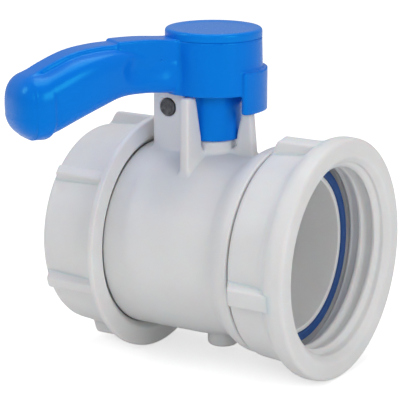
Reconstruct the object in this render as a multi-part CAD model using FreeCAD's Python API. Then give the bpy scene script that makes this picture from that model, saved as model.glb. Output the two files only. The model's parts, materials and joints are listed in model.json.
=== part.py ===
"""Quarter-turn butterfly valve for a bulk container, built as separate moulded and turned pieces.

The pipe axis is X with the tank at +X, and the stem axis is Z.  The pieces are modelled about the
crossing of the two axes and moved at the end, so that the origin is the middle of the tank seal.
Lengths are millimetres and angles are degrees.
"""
import FreeCAD
import Part
import math
import os

from FreeCAD import Vector

# ---- pipe line -----------------------------------------------------------------------------------
BORE_R = 30.0               # flow bore through the housing
BARREL_WALL = 7.3
SPIGOT_DROP = 1.3           # waist and nut spigot are this much smaller than the barrel
SHOULDER_RISE = 4.8         # crest of the stop shoulder above the spigot
SHOULDER_SPAN = 9.9         # from the waist to the crest
SHOULDER_NOSE = 1.9         # from the crest to the flat face
NOSE_DROP = 1.6             # how far the shoulder rounds down to its face
SPIGOT_LENGTH = 7.3         # from the shoulder face to the tank end
TANK_END_X = 38.0           # end face under the tank gasket, from the stem axis
THREAD_LENGTH = 21.3        # outlet spigot under the cap
END_CHAMFER = 1.0

# ---- coarse thread of nut and cap ----------------------------------------------------------------
THREAD_STEP = 0.2           # nominal thread radius above the barrel
THREAD_PLAY = 0.3           # radial room of the male thread
RELIEF = 0.4                # run-out of the nut's thread, behind the gasket face

# ---- tank gasket and its locating lip ------------------------------------------------------------
GASKET_THICK = 3.0
GASKET_INSET = 0.8          # gasket edge inside the spigot edge
LIP_WALL = 0.8
LIP_LENGTH = 2.2            # the lip stands inside the gasket
LIP_GAP = 0.1

# ---- union nut -----------------------------------------------------------------------------------
NUT_PLAY = 0.3              # axial play against shoulder and retaining ring
NUT_WEB_THICK = 4.1         # inward flange behind the thread
NUT_RUN_GAP = 0.35          # radial room between nut and spigot
NUT_REACH = 17.6            # from the tank seal to the nut's face
NUT_WALL = 4.6              # wall around the thread
NUT_NECK_RISE = 0.9         # the body grows towards the flange
NUT_REAR_DROP = 2.4
NUT_MOUTH_RISE = 2.0
NUT_MOUTH_DEPTH = 2.4
FLANGE_RISE = 5.15          # flange rim above the nut's body
NUT_FLANGE_THICK = 8.1
NUT_RIB_COUNT = 4
NUT_RIB_WIDTH = 7.1
NUT_RIB_DROP = 0.45         # rib top below the flange rim
NUT_RIB_RISE = 7.2          # length of the curved rear end of a rib
NUT_RIB_ANGLE = 8.7
RING_WIDTH = 1.5            # split ring that keeps the nut on its spigot
RING_STAND = 1.2            # how far the ring stands out of its groove
RING_DEPTH = 1.1
RING_SPLIT = 6.0
RING_GAP = 0.05

# ---- outlet cap ----------------------------------------------------------------------------------
CAP_CLEAR = 2.8             # between the cap's mouth and the tower
CAP_OVERLAP = 2.0           # the cap's mouth reaches past the outlet thread
CAP_WALL = 4.9              # wall around the thread, beside the flange
CAP_NARROWING = 2.2         # the drum is this much smaller at its closed end
CAP_END_ROUND = 2.4
CAP_END_THICK = 3.5
CAP_FLANGE_THICK = 2.6
CAP_MOUTH_RISE = 2.6
CAP_MOUTH_DEPTH = 2.4
CAP_RIB_COUNT = 6
CAP_RIB_WIDTH = 4.3
CAP_RIB_DROP = 1.65         # rib top below the flange rim
CAP_RIB_RISE = 4.5
CAP_RIB_ANGLE = 20.0
CAP_GASKET_THICK = 2.5
CAP_GASKET_WIDTH = 6.4
CAP_GASKET_INSET = 0.3

# ---- stem and its packing ------------------------------------------------------------------------
STEM_R = 5.0
STEM_PIVOT_R = 4.0
STEM_PIVOT_DEPTH = 4.2      # how far the lower pivot enters the barrel wall
STEM_FOOT_GAP = 1.6         # between the thick shaft and the bore wall
STEM_SQUARE = 7.6           # square drive for the lever
STEM_GAP = 0.1
PACKING_FLOOR = 1.6         # wall between the bore and the packing chamber
PACKING_ROOM = 0.2
ORING_HEIGHT = 2.4
BUSH_HEIGHT = 3.8
THRUST_THICK = 1.0
LOWER_BUSH_WALL = 1.2
FIT_GAP = 0.05              # hair gap between pieces that sit in one another

# ---- tower on the barrel -------------------------------------------------------------------------
NECK_WALL = 1.6             # wall around the packing chamber
POST_RISE = 18.7            # tall stop posts, above the neck
LOW_POST_DROP = 7.2         # low posts end under the lever skirt
POST_THICK = 4.0
POST_STAND = 0.7            # tall posts reach out past the skirt
LOW_POST_LEAN = 1.5         # low posts lean in towards their tips
LOW_POST_TIP = 4.3
POST_INSET = 1.3            # fins leave the neck this far out
POST_ROOT = 3.0             # and this far below its top
BLOCK_DEPTH = 11.0          # block that carries the lock screw
BLOCK_STAND = 1.0           # how far it stands out beyond the posts
TOWER_CLEAR = 0.8           # room between posts and the turning collar
STOP_GAP = 0.4              # between the tower and the lever above it
STOP_ROOM = 0.06            # left between skirt and posts at the ends of the turn
FOOT_BOSS_R = 6.1
FOOT_BOSS_X = 4.7
FOOT_BOSS_DROP = 5.3
FOOT_BOSS_ROUND = 1.5

# ---- butterfly disc ------------------------------------------------------------------------------
DISC_PLAY = 1.4             # between the disc rim and the bore wall
DISC_RIM_THICK = 5.0
DISC_SWELL = 1.6            # the plate grows by this much on each face towards its middle
DISC_BOSS_WALL = 3.0
DISC_GROOVE = 2.2
DISC_GROOVE_GAP = 0.4
SEAL_ROOM = 0.3             # between the seal and the bore wall
SEAL_CHAMFER = 0.7
DISC_SCREW_R = 1.6
DISC_SCREW_HEAD_R = 3.0
DISC_SCREW_HEAD = 1.6
DISC_SCREW_Z = 14.0

# ---- lever ---------------------------------------------------------------------------------------
REST_TURN = -30.0           # the lever stands this far open from its closed stop
QUARTER = 90.0
HUB_HEIGHT = 24.5
HUB_BOTTOM_R = 19.4
HUB_NARROWING = 0.6
HUB_WALL = 2.6
COLLAR_R = 11.1
COLLAR_GAP = 0.35           # between collar and neck top
DRIVE_LENGTH = 11.5         # square drive inside the hub
DECK_ROOM = 0.5
DECK_THICK = 2.0
HUB_CAP_THICK = 3.4
HUB_CAP_ROUND = 1.8
HUB_CAP_LEDGE = 4.3         # spigot of the cover inside its rim
HUB_CAP_SPIGOT = 2.0
HUB_CAP_SPIGOT_WALL = 2.0
SCREW_WELL_R = 7.5
SKIRT_STAND = 1.6           # skirt outside the hub rim
SKIRT_WALL = 2.7
SKIRT_HEIGHT = 16.3
ARM_REACH = 85.0            # from the stem axis to the last section
ARM_TALL = 21.6             # height of the arm above the hub's lower edge, where it is level
ARM_HALF = 14.2             # half the width of the grip
WEB_HALF = 3.0              # web between the side scoops
SCOOP_R = 9.2
SMALL_SCOOP_R = 5.7
LEVER_SCREW_R = 2.5
LEVER_SCREW_HEAD_R = 4.6
LEVER_SCREW_HEAD = 3.2
LEVER_SCREW_DEPTH = 14.0
LEVER_SCREW_DRIVE = 2.0
LEVER_WASHER_R = 6.2
LEVER_WASHER_THICK = 1.2

# Arm sections: distance, lower and upper edge, half width and squareness.  The distance is a share of
# ARM_REACH, the edges are shares of ARM_TALL above the hub's lower edge, the width is a share of ARM_HALF.
ARM_SECTIONS = [
    (0.095, 0.02, 0.95, 0.435, 0.45), (0.235, 0.03, 0.96, 0.435, 0.45), (0.375, 0.07, 1.00, 0.465, 0.45),
    (0.495, 0.06, 1.02, 0.565, 0.50), (0.610, -0.09, 1.00, 0.745, 0.55), (0.730, -0.265, 0.92, 0.90, 0.60),
    (0.845, -0.45, 0.735, 1.00, 0.62), (0.930, -0.53, 0.57, 0.97, 0.66), (0.980, -0.46, 0.42, 0.79, 0.72),
    (1.000, -0.273, 0.227, 0.45, 0.80)]

# ---- lock screw ----------------------------------------------------------------------------------
LOCK_INSET = 7.3            # from the outer face of the block
LOCK_DROP = 6.9             # below the top of the block
LOCK_HEAD_R = 3.3
LOCK_HEAD = 2.0
LOCK_SHANK_R = 2.0
LOCK_LENGTH = 9.0
LOCK_RECESS = 1.5
LOCK_GAP = 0.3

# ---- sizes and places that follow from the ones above --------------------------------------------
ORIGIN = Vector(0, 0, 0)
X_AXIS = Vector(1, 0, 0)
Y_AXIS = Vector(0, 1, 0)
Z_AXIS = Vector(0, 0, 1)
BARREL_R = BORE_R + BARREL_WALL
SPIGOT_R = BARREL_R - SPIGOT_DROP
SHOULDER_R = SPIGOT_R + SHOULDER_RISE
SHOULDER_FACE_X = TANK_END_X - SPIGOT_LENGTH
SHOULDER_X = SHOULDER_FACE_X - SHOULDER_NOSE
WAIST_X = SHOULDER_X - SHOULDER_SPAN
THREAD_R = BARREL_R + THREAD_STEP
SEAL_FACE_X = TANK_END_X + GASKET_THICK
GASKET_INNER_R = BORE_R + LIP_WALL + LIP_GAP
GASKET_OUTER_R = SPIGOT_R - GASKET_INSET
NUT_WEB_X = SHOULDER_FACE_X + NUT_PLAY
NUT_WEB_FRONT_X = NUT_WEB_X + NUT_WEB_THICK
NUT_FACE_X = SEAL_FACE_X + NUT_REACH
NUT_BODY_R = THREAD_R + NUT_WALL
FLANGE_R = NUT_BODY_R + FLANGE_RISE
RING_X = NUT_WEB_FRONT_X + NUT_PLAY
CAP_DRUM_R = THREAD_R + CAP_WALL
CAP_END_R = CAP_DRUM_R - CAP_NARROWING
PACKING_R = STEM_R + ORING_HEIGHT
PACKING_FLOOR_Z = BORE_R + PACKING_FLOOR
NECK_R = PACKING_R + NECK_WALL
NECK_TOP_Z = PACKING_FLOOR_Z + 2 * ORING_HEIGHT + BUSH_HEIGHT + THRUST_THICK + PACKING_ROOM
POST_TOP_Z = NECK_TOP_Z + POST_RISE
LOW_POST_TOP_Z = POST_TOP_Z - LOW_POST_DROP
HUB_BOTTOM_Z = POST_TOP_Z + STOP_GAP
HUB_TOP_Z = HUB_BOTTOM_Z + HUB_HEIGHT
HUB_TOP_R = HUB_BOTTOM_R - HUB_NARROWING
HUB_SEAM_Z = HUB_TOP_Z - HUB_CAP_THICK
STEM_TOP_Z = HUB_BOTTOM_Z + DRIVE_LENGTH
STEM_FOOT_Z = -BORE_R - STEM_PIVOT_DEPTH
SCREW_SEAT_Z = STEM_TOP_Z + DECK_ROOM + DECK_THICK
COLLAR_Z = NECK_TOP_Z + COLLAR_GAP
SKIRT_R = HUB_BOTTOM_R + SKIRT_STAND
SKIRT_INNER_R = SKIRT_R - SKIRT_WALL
SKIRT_BOTTOM_Z = LOW_POST_TOP_Z + STOP_GAP
POST_TOP_OUTER = SKIRT_R + POST_STAND
POST_TOP_INNER = SKIRT_INNER_R - SKIRT_WALL
LOW_POST_OUTER = HUB_BOTTOM_R
LOW_POST_TOP_OUTER = HUB_BOTTOM_R - LOW_POST_LEAN
LOW_POST_TOP_INNER = LOW_POST_TOP_OUTER - LOW_POST_TIP
BLOCK_OUTER = POST_TOP_OUTER + BLOCK_STAND
BLOCK_FRONT_Y = POST_THICK / 2 - BLOCK_DEPTH
CAP_FACE_X = -BLOCK_OUTER - CAP_CLEAR
THREAD_START_X = CAP_FACE_X - CAP_OVERLAP
OUTLET_END_X = THREAD_START_X - THREAD_LENGTH
CAP_SEAT_X = OUTLET_END_X - CAP_GASKET_THICK
CAP_END_X = CAP_SEAT_X - CAP_END_THICK
LOCK_X = LOCK_INSET - BLOCK_OUTER
LOCK_Z = POST_TOP_Z - LOCK_DROP
FOOT_BOSS_Z = -BARREL_R - FOOT_BOSS_DROP
DISC_R = BORE_R - DISC_PLAY
DISC_BOSS_R = STEM_R + DISC_BOSS_WALL
WHOLE_LENGTH = NUT_FACE_X - CAP_END_X


def line(a, b):
    return Part.LineSegment(Vector(*a, 0), Vector(*b, 0)).toShape()


def ring_of(points):
    """Turn a closed outline of (along, radius) points about the pipe axis."""
    corners = [Vector(x, r, 0) for x, r in points]
    outline = Part.makePolygon(corners + corners[:1])
    return Part.Face(outline).revolve(ORIGIN, X_AXIS, 360)


def turned(points):
    """Turn a closed outline of (radius, height) points about the stem axis."""
    corners = [Vector(r, 0, z) for r, z in points]
    outline = Part.makePolygon(corners + corners[:1])
    return Part.Face(outline).revolve(ORIGIN, Z_AXIS, 360)


def tube(inner, outer, bottom, height):
    """A plain ring about the stem axis."""
    return turned([(inner, bottom), (outer, bottom), (outer, bottom + height), (inner, bottom + height)])


def pipe_tube(inner, outer, start, end):
    """A plain ring about the pipe axis."""
    return ring_of([(start, inner), (start, outer), (end, outer), (end, inner)])


def rod(radius, bottom, top):
    """A round bar on the stem axis."""
    return Part.makeCylinder(radius, top - bottom, Vector(0, 0, bottom))


def box(x_range, y_range, z_range):
    size = [b - a for a, b in (x_range, y_range, z_range)]
    return Part.makeBox(*size, Vector(x_range[0], y_range[0], z_range[0]))


def plate(points, thick):
    """An upright plate: (x, z) points, centred on the XZ plane."""
    corners = [Vector(x, -thick / 2, z) for x, z in points]
    return Part.Face(Part.makePolygon(corners + corners[:1])).extrude(Vector(0, thick, 0))


def around(shape, angle, axis):
    copy = shape.copy()
    copy.rotate(ORIGIN, axis, angle)
    return copy


def bezier(points):
    curve = Part.BezierCurve()
    curve.setPoles([Vector(x, r, 0) for x, r in points])
    return curve.toShape()


def flow_bore():
    return Part.makeCylinder(BORE_R, 2 * WHOLE_LENGTH, Vector(-WHOLE_LENGTH, 0, 0), X_AXIS)


def barrel_outline():
    """Outside of the housing from the outlet end to the shoulder face, as straight points and curves."""
    male_r = THREAD_R - THREAD_PLAY
    straight = [
        (OUTLET_END_X, male_r - END_CHAMFER), (OUTLET_END_X + END_CHAMFER, male_r),
        (THREAD_START_X, male_r), (THREAD_START_X + THREAD_PLAY, BARREL_R), (0.0, BARREL_R)]
    to_waist = [(0.0, BARREL_R), (0.5 * WAIST_X, BARREL_R), (0.6 * WAIST_X, SPIGOT_R), (WAIST_X, SPIGOT_R)]
    bulge = [
        (WAIST_X, SPIGOT_R), (WAIST_X + 0.2 * SHOULDER_SPAN, SPIGOT_R),
        (WAIST_X + 0.56 * SHOULDER_SPAN, SPIGOT_R + 0.98 * SHOULDER_RISE), (SHOULDER_X, SHOULDER_R)]
    nose = [
        (SHOULDER_X, SHOULDER_R), (SHOULDER_X + 0.63 * SHOULDER_NOSE, SHOULDER_R + 0.06 * NOSE_DROP),
        (SHOULDER_FACE_X, SHOULDER_R - 0.3 * NOSE_DROP), (SHOULDER_FACE_X, SHOULDER_R - NOSE_DROP)]
    return straight, [to_waist, bulge, nose]


def barrel():
    """The turned body of the housing, with its bore, lip and ring groove."""
    straight, curved = barrel_outline()
    edges = [line(a, b) for a, b in zip(straight, straight[1:])]
    edges += [bezier(points) for points in curved]
    lip_r = BORE_R + LIP_WALL
    groove_floor = SPIGOT_R - RING_DEPTH
    groove_end = RING_X + RING_WIDTH + 2 * RING_GAP
    edge = 0.4 * END_CHAMFER
    tail = [
        (SHOULDER_FACE_X, SHOULDER_R - NOSE_DROP), (SHOULDER_FACE_X, SPIGOT_R), (RING_X, SPIGOT_R),
        (RING_X, groove_floor), (groove_end, groove_floor), (groove_end, SPIGOT_R),
        (TANK_END_X - edge, SPIGOT_R), (TANK_END_X, SPIGOT_R - edge), (TANK_END_X, lip_r),
        (TANK_END_X + LIP_LENGTH, lip_r), (TANK_END_X + LIP_LENGTH, BORE_R),
        (OUTLET_END_X, BORE_R), (OUTLET_END_X, straight[0][1])]
    edges += [line(a, b) for a, b in zip(tail, tail[1:])]
    return Part.Face(Part.Wire(edges)).revolve(ORIGIN, X_AXIS, 360)


def foot_boss():
    boss = Part.makeCylinder(FOOT_BOSS_R, -FOOT_BOSS_Z - BORE_R, Vector(FOOT_BOSS_X, 0, FOOT_BOSS_Z))
    rim = [e for e in boss.Edges if abs(e.BoundBox.ZMax - FOOT_BOSS_Z) < 0.01]
    return boss.makeFillet(FOOT_BOSS_ROUND, rim)


def stem_bore():
    """Room for the stem and its packing in the barrel wall and the neck."""
    return rod(STEM_R + STEM_GAP, 0, NECK_TOP_Z).fuse(rod(PACKING_R, PACKING_FLOOR_Z, HUB_TOP_Z))


def make_housing():
    pivot = rod(STEM_PIVOT_R + STEM_GAP + LOWER_BUSH_WALL, STEM_FOOT_Z, 0)
    outside = barrel().fuse(foot_boss())
    return outside.cut([flow_bore(), stem_bore(), pivot]).removeSplitter()


def low_post():
    return plate([
        (NECK_R / 2, BORE_R / 2), (NECK_R / 2, BARREL_R), (NECK_R + POST_INSET, NECK_TOP_Z - POST_ROOT),
        (LOW_POST_TOP_INNER, LOW_POST_TOP_Z), (LOW_POST_TOP_OUTER, LOW_POST_TOP_Z),
        (LOW_POST_OUTER, BARREL_R), (LOW_POST_OUTER, BORE_R / 2)], POST_THICK)


def tall_post():
    return plate([
        (NECK_R / 2, BORE_R / 2), (NECK_R / 2, BARREL_R), (NECK_R + POST_INSET, NECK_TOP_Z - POST_ROOT),
        (POST_TOP_INNER, POST_TOP_Z), (POST_TOP_OUTER, POST_TOP_Z), (POST_TOP_OUTER, BORE_R / 2)], POST_THICK)


def lock_hole():
    """Counterbored hole of the lock screw, from the front of the block."""
    mouth = Vector(LOCK_X, BLOCK_FRONT_Y, LOCK_Z)
    shank = Part.makeCylinder(LOCK_SHANK_R, LOCK_LENGTH + LOCK_GAP, mouth, Y_AXIS)
    head = Part.makeCylinder(LOCK_HEAD_R + LOCK_GAP, LOCK_RECESS, mouth, Y_AXIS)
    return shank.fuse(head)


def make_stem_tower():
    """Neck, four posts and the block of the lock screw, standing on the barrel."""
    neck = rod(NECK_R, 0, NECK_TOP_Z)
    block = box((-BLOCK_OUTER, -NECK_R / 2), (BLOCK_FRONT_Y, POST_THICK / 2), (BORE_R / 2, POST_TOP_Z))
    others = [low_post(), around(low_post(), QUARTER, Z_AXIS), block]
    posts = around(tall_post(), -QUARTER, Z_AXIS).fuse(others)
    collar_room = rod(COLLAR_R + TOWER_CLEAR, NECK_TOP_Z - POST_ROOT + 1, HUB_TOP_Z)
    tower = neck.fuse(posts.cut(collar_room))
    return tower.cut([barrel(), flow_bore(), stem_bore(), lock_hole()]).removeSplitter()


def make_tank_gasket():
    return pipe_tube(GASKET_INNER_R, GASKET_OUTER_R, TANK_END_X, SEAL_FACE_X)


def grip_ribs(start, end, root_r, foot_r, top_r, rise, width, count, first_angle):
    """Grip ribs along the pipe axis; the rear end of each climbs in an S over the length rise."""
    s_curve = bezier([
        (start, foot_r), (start + rise * 0.55, foot_r), (start + rise * 0.45, top_r), (start + rise, top_r)])
    corners = [(start + rise, top_r), (end, top_r), (end, root_r), (start, root_r), (start, foot_r)]
    edges = [s_curve] + [line(a, b) for a, b in zip(corners, corners[1:])]
    solid = Part.Face(Part.Wire(edges)).extrude(Vector(0, 0, width))
    solid.translate(Vector(0, 0, -width / 2))
    return [around(solid, first_angle + i * 360 / count, X_AXIS) for i in range(count)]


def make_union_nut():
    flange_x = NUT_FACE_X - NUT_FLANGE_THICK
    neck_r = NUT_BODY_R + NUT_NECK_RISE
    rear_r = NUT_BODY_R - NUT_REAR_DROP
    edge = 0.15 * NUT_FLANGE_THICK
    shell = ring_of([
        (NUT_WEB_X, SPIGOT_R + NUT_RUN_GAP), (NUT_WEB_X, rear_r),
        (NUT_WEB_X + 0.33 * NUT_WALL, NUT_BODY_R - 0.13 * NUT_WALL),
        (NUT_WEB_X + 0.65 * NUT_WALL, NUT_BODY_R - 0.04 * NUT_WALL), (NUT_WEB_X + 1.52 * NUT_WALL, NUT_BODY_R),
        (flange_x - 0.64 * NUT_FLANGE_THICK, neck_r),
        (flange_x - 0.46 * NUT_FLANGE_THICK, neck_r + 0.27 * FLANGE_RISE),
        (flange_x - 0.14 * NUT_FLANGE_THICK, neck_r + 0.52 * FLANGE_RISE), (flange_x, FLANGE_R - edge / 2),
        (flange_x + 0.7 * edge, FLANGE_R), (NUT_FACE_X - edge, FLANGE_R),
        (NUT_FACE_X - edge / 3, FLANGE_R - edge / 3), (NUT_FACE_X, FLANGE_R - edge),
        (NUT_FACE_X, THREAD_R + NUT_MOUTH_RISE),
        (NUT_FACE_X - NUT_MOUTH_DEPTH, THREAD_R), (SEAL_FACE_X, THREAD_R), (SEAL_FACE_X, THREAD_R + RELIEF),
        (NUT_WEB_FRONT_X, THREAD_R + RELIEF), (NUT_WEB_FRONT_X, SPIGOT_R + NUT_RUN_GAP)])
    ribs = grip_ribs(
        NUT_WEB_X + RELIEF, flange_x + 2.0, THREAD_R + 2 * RELIEF, rear_r - RELIEF, FLANGE_R - NUT_RIB_DROP,
        NUT_RIB_RISE, NUT_RIB_WIDTH, NUT_RIB_COUNT, NUT_RIB_ANGLE)
    return shell.fuse(ribs).removeSplitter()


def make_retaining_ring():
    """Split ring in the spigot groove, in front of the nut's inward flange."""
    inner = SPIGOT_R - RING_DEPTH + RING_GAP
    start = RING_X + RING_GAP
    whole = pipe_tube(inner, SPIGOT_R + RING_STAND, start, start + RING_WIDTH)
    gap = box((RING_X - 1, RING_X + RING_WIDTH + 1), (-RING_SPLIT / 2, RING_SPLIT / 2), (-FLANGE_R, 0))
    return whole.cut(gap)


def make_outlet_cap():
    """Closed screw cap: drum, flange round its mouth, end wall and grip ribs."""
    behind = CAP_FACE_X - CAP_FLANGE_THICK
    edge = 0.3 * CAP_FLANGE_THICK
    shell = ring_of([
        (CAP_END_X, 0), (CAP_END_X, CAP_END_R - CAP_END_ROUND),
        (CAP_END_X + 0.3 * CAP_END_ROUND, CAP_END_R - 0.3 * CAP_END_ROUND), (CAP_END_X + CAP_END_ROUND, CAP_END_R),
        (behind, CAP_DRUM_R), (behind, FLANGE_R - edge), (behind + edge, FLANGE_R),
        (CAP_FACE_X - edge, FLANGE_R), (CAP_FACE_X, FLANGE_R - edge), (CAP_FACE_X, THREAD_R + CAP_MOUTH_RISE),
        (CAP_FACE_X - CAP_MOUTH_DEPTH, THREAD_R), (CAP_SEAT_X, THREAD_R), (CAP_SEAT_X, 0)])
    ribs = grip_ribs(
        CAP_END_X + edge, behind + edge, THREAD_R + edge, CAP_END_R - edge, FLANGE_R - CAP_RIB_DROP,
        CAP_RIB_RISE, CAP_RIB_WIDTH, CAP_RIB_COUNT, CAP_RIB_ANGLE)
    return shell.fuse(ribs).removeSplitter()


def make_cap_gasket():
    outer = THREAD_R - THREAD_PLAY - CAP_GASKET_INSET
    return pipe_tube(outer - CAP_GASKET_WIDTH, outer, CAP_SEAT_X, OUTLET_END_X)


def packing_levels():
    """Heights of the packing pieces in the neck, from the chamber floor up."""
    lower = PACKING_FLOOR_Z
    bush = lower + ORING_HEIGHT
    upper = bush + BUSH_HEIGHT
    return lower, bush, upper, NECK_TOP_Z - THRUST_THICK


def make_oring(level):
    radius = ORING_HEIGHT / 2 - FIT_GAP
    middle = (STEM_R + PACKING_R) / 2
    return Part.makeTorus(middle, radius, Vector(0, 0, level + ORING_HEIGHT / 2))


def make_stem_bush():
    return tube(STEM_R + STEM_GAP, PACKING_R - FIT_GAP, packing_levels()[1], BUSH_HEIGHT)


def make_thrust_washer():
    return tube(STEM_R + STEM_GAP, PACKING_R - FIT_GAP, packing_levels()[3], THRUST_THICK)


def make_lower_bush():
    inner = STEM_PIVOT_R + STEM_GAP
    return tube(inner, inner + LOWER_BUSH_WALL - FIT_GAP, STEM_FOOT_Z, STEM_PIVOT_DEPTH - 0.6)


def screw_bore(radius, start, length, z):
    """A round cutter along the pipe axis for the screws that hold the disc on the stem."""
    return Part.makeCylinder(radius, length, Vector(start, 0, z), X_AXIS)


def make_stem():
    """Stem with its lower pivot, round shaft and square top, tapped for the lever screw."""
    pivot = rod(STEM_PIVOT_R, STEM_FOOT_Z + 3 * STEM_GAP, 0)
    shaft = rod(STEM_R, -BORE_R + STEM_FOOT_GAP, NECK_TOP_Z + 1.0)
    half = STEM_SQUARE / 2
    square = box((-half, half), (-half, half), (NECK_TOP_Z, STEM_TOP_Z))
    rounded = square.common(rod(STEM_R, 0, STEM_TOP_Z))
    tapped = rod(LEVER_SCREW_R, STEM_TOP_Z - LEVER_SCREW_DEPTH, STEM_TOP_Z)
    stem = pivot.fuse([shaft, rounded]).cut(tapped)
    screws = [screw_bore(DISC_SCREW_R, -2 * STEM_R, 4 * STEM_R, z) for z in (-DISC_SCREW_Z, DISC_SCREW_Z)]
    return stem.cut(screws)


def make_disc():
    """Butterfly disc in its closed place: a thin plate that swells to a boss along the stem."""
    half = DISC_RIM_THICK / 2
    shoulder = half + 0.375 * DISC_SWELL
    groove = DISC_GROOVE / 2
    lens = ring_of([
        (-half, DISC_R), (-shoulder, DISC_R * 0.8), (-half - DISC_SWELL, 0), (half + DISC_SWELL, 0),
        (shoulder, DISC_R * 0.8), (half, DISC_R), (groove, DISC_R), (groove, DISC_R - DISC_GROOVE),
        (-groove, DISC_R - DISC_GROOVE), (-groove, DISC_R)])
    inside = Part.makeSphere(DISC_R - DISC_GROOVE - DISC_GROOVE_GAP)
    boss = rod(DISC_BOSS_R, -BORE_R, BORE_R).common(inside)
    cutters = [rod(STEM_R + FIT_GAP, -BORE_R, BORE_R)]
    for z in (-DISC_SCREW_Z, DISC_SCREW_Z):
        cutters.append(screw_bore(DISC_SCREW_R, -2 * DISC_BOSS_R, 4 * DISC_BOSS_R, z))
        cutters.append(screw_bore(DISC_SCREW_HEAD_R, DISC_BOSS_R - DISC_SCREW_HEAD, DISC_BOSS_R, z))
    return lens.fuse(boss).cut(cutters)


def make_disc_seal():
    flat = DISC_GROOVE / 2 - FIT_GAP
    outer = BORE_R - SEAL_ROOM
    inner = DISC_R - DISC_GROOVE + FIT_GAP
    seal = ring_of([
        (-flat, inner), (-flat, outer - SEAL_CHAMFER), (-flat + SEAL_CHAMFER, outer),
        (flat - SEAL_CHAMFER, outer), (flat, outer - SEAL_CHAMFER), (flat, inner)])
    return seal.cut(rod(STEM_R + STEM_GAP, -BORE_R, BORE_R))


def make_disc_screws():
    pieces = []
    start = DISC_BOSS_R - DISC_SCREW_HEAD
    for z in (-DISC_SCREW_Z, DISC_SCREW_Z):
        head = screw_bore(DISC_SCREW_HEAD_R - FIT_GAP, start, DISC_SCREW_HEAD - 4 * FIT_GAP, z)
        shank = screw_bore(DISC_SCREW_R - FIT_GAP, -start, 2 * start, z)
        pieces.append(head.fuse(shank))
    return Part.makeCompound(pieces)


def section(share_s, share_low, share_high, share_half, corner):
    """A rounded arm section from its shares of the arm's sizes."""
    s = share_s * ARM_REACH
    low = HUB_BOTTOM_Z + share_low * ARM_TALL
    high = HUB_BOTTOM_Z + share_high * ARM_TALL
    half = share_half * ARM_HALF
    middle = (low + high) / 2
    tall = (high - low) / 2
    count = 20
    points = []
    for i in range(count):
        a = 2 * math.pi * i / count
        y = math.copysign(abs(math.cos(a)) ** corner, math.cos(a)) * half
        z = math.copysign(abs(math.sin(a)) ** corner, math.sin(a)) * tall
        points.append(Vector(s, y, middle + z))
    curve = Part.BSplineCurve()
    curve.interpolate(points, PeriodicFlag=True)
    return Part.Wire(curve.toShape())


def arm():
    """The lever arm along +X before it is turned: level neck, then a grip that droops to a rounded end."""
    return Part.makeLoft([section(*place) for place in ARM_SECTIONS], True, False)


def arm_point(share_s, y, share_z):
    return Vector(share_s * ARM_REACH, y, HUB_BOTTOM_Z + share_z * ARM_TALL)


def capsule(start, end, radius):
    """A round-ended rod between two points."""
    along = end - start
    bar = Part.makeCylinder(radius, along.Length, start, along)
    return bar.fuse([Part.makeSphere(radius, start), Part.makeSphere(radius, end)])


def scoops():
    """Hollows on both flanks: a long one in the grip and a short one in the neck."""
    cuts = []
    for side in (-1, 1):
        out = WEB_HALF + SCOOP_R
        start = arm_point(0.635, side * (out + 1.0), 0.43)
        end = arm_point(0.80, side * (out + 1.6), 0.21)
        cuts.append(capsule(start, end, SCOOP_R))
        near = side * (WEB_HALF + 1.0 + SMALL_SCOOP_R)
        cuts.append(capsule(arm_point(0.33, near, 0.505), arm_point(0.46, near, 0.54), SMALL_SCOOP_R))
    return cuts


def stop_skirt():
    """Band opposite the arm whose ends meet the tall posts after a quarter turn."""
    free = math.degrees(math.asin((POST_THICK / 2 + STOP_ROOM) / SKIRT_INNER_R))
    half_angle = QUARTER - free
    band = tube(SKIRT_INNER_R, SKIRT_R, SKIRT_BOTTOM_Z, SKIRT_HEIGHT)
    reach = Vector(0, 0, SKIRT_BOTTOM_Z)
    wedge = Part.makeCylinder(2 * SKIRT_R, SKIRT_HEIGHT, reach, Z_AXIS, 2 * half_angle)
    return band.common(around(wedge, 2 * QUARTER - half_angle, Z_AXIS))


def make_lever():
    """Moulded lever: hub shell, inner collar, arm with scooped flanks, and the stop skirt opposite the arm."""
    seam_r = HUB_TOP_R + HUB_NARROWING * HUB_CAP_THICK / HUB_HEIGHT
    hub = turned([(0, HUB_BOTTOM_Z), (HUB_BOTTOM_R, HUB_BOTTOM_Z), (seam_r, HUB_SEAM_Z), (0, HUB_SEAM_Z)])
    collar = rod(COLLAR_R, COLLAR_Z, HUB_BOTTOM_Z + 1)
    hollow = tube(COLLAR_R, HUB_BOTTOM_R - HUB_WALL, HUB_BOTTOM_Z - 1, STEM_TOP_Z - HUB_BOTTOM_Z + 1)
    cover_room = rod(HUB_TOP_R + 4 * FIT_GAP, HUB_SEAM_Z, HUB_TOP_Z + ARM_TALL)
    body = hub.fuse([arm().cut(scoops() + [cover_room]), collar, stop_skirt()]).cut(hollow)
    half = STEM_SQUARE / 2 + FIT_GAP
    socket = box((-half, half), (-half, half), (COLLAR_Z - 1, STEM_TOP_Z)).common(rod(STEM_R + FIT_GAP, 0, HUB_TOP_Z))
    shaft_room = rod(STEM_R + 3 * STEM_GAP, 0, NECK_TOP_Z + 1.0 + COLLAR_GAP)
    screw_hole = rod(LEVER_SCREW_R + 2 * STEM_GAP, STEM_TOP_Z - 1, HUB_TOP_Z)
    well = rod(SCREW_WELL_R, SCREW_SEAT_Z, HUB_TOP_Z)
    cap_room = rod(HUB_TOP_R - HUB_CAP_LEDGE + FIT_GAP, HUB_SEAM_Z - HUB_CAP_SPIGOT - LOCK_GAP, HUB_TOP_Z)
    return body.cut([socket, shaft_room, screw_hole, well, cap_room]).removeSplitter()


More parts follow.
